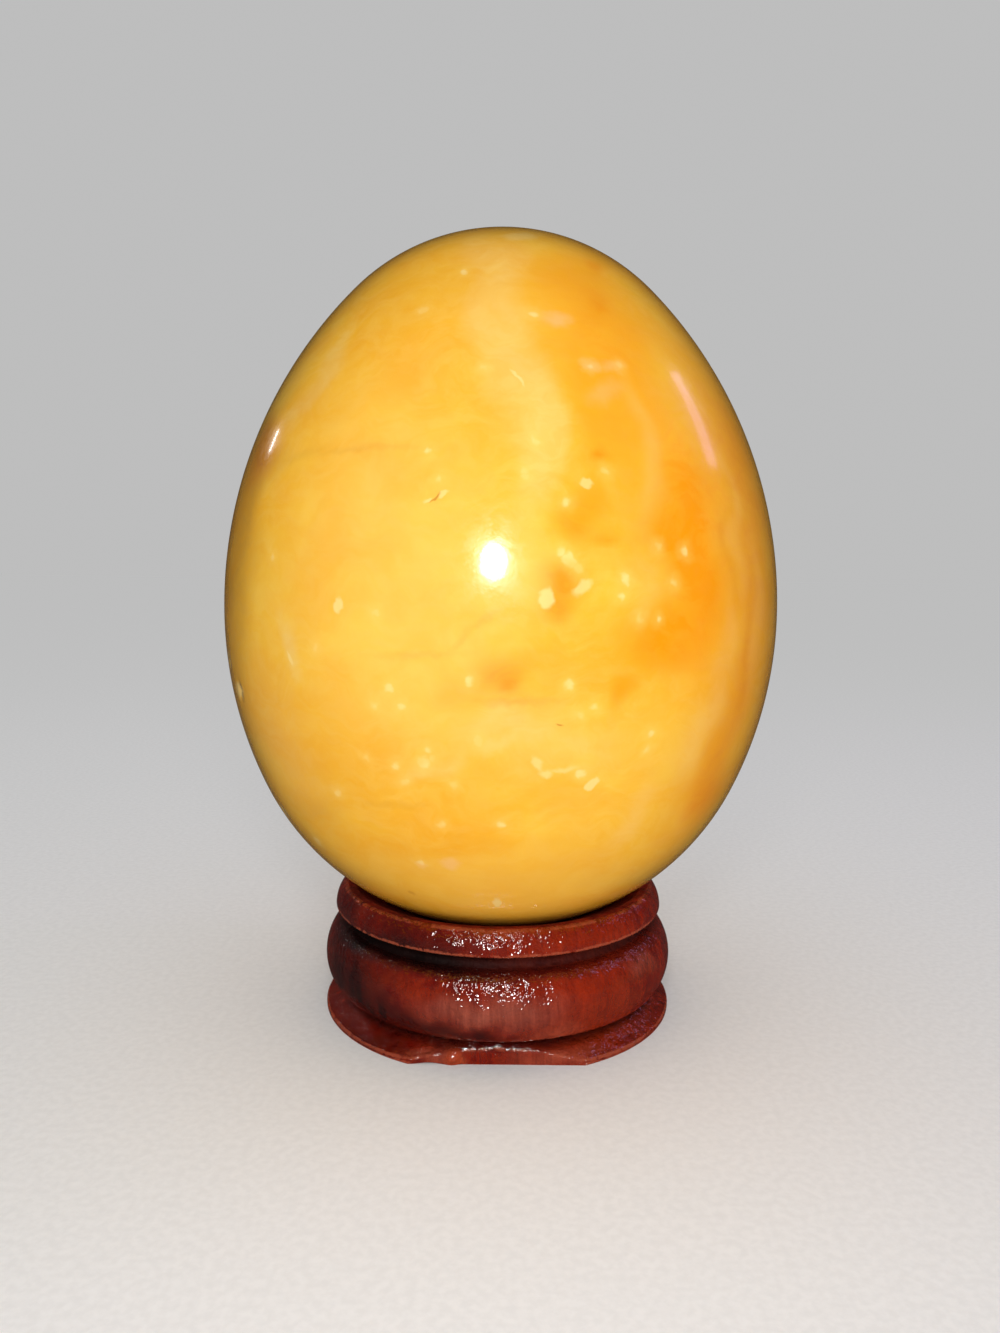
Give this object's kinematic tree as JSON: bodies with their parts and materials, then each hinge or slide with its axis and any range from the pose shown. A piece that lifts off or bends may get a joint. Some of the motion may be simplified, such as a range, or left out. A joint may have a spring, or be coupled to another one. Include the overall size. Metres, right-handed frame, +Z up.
{
  "type": "decorative egg on stand",
  "caption": "Polished stone egg standing upright, blunt end down, in a low turned wooden ring stand with a rounded band, a broad bead and a thin spreading foot.",
  "frame": {"origin": "centre of the stand's flat underside, on the axis of the ring", "axes": "+Z up along the common axis of the ring and the egg, -Y towards the sawn flat on the front of the foot"},
  "size_m": [0.06, 0.06, 0.0849],
  "materials": {
    "egg_stone": "polished amber-yellow stone with pale inclusions",
    "stand_wood": "glossy red-brown lacquer"
  },
  "bodies": {
    "stand": {"stand": "stand_wood"},
    "egg": {"egg": "egg_stone"}
  },
  "joints": [
    {"name": "egg_lift", "type": "slide", "parent": "stand", "child": "egg", "axis": [0, 0, 1], "range_m": [0, 0.06]}
  ]
}
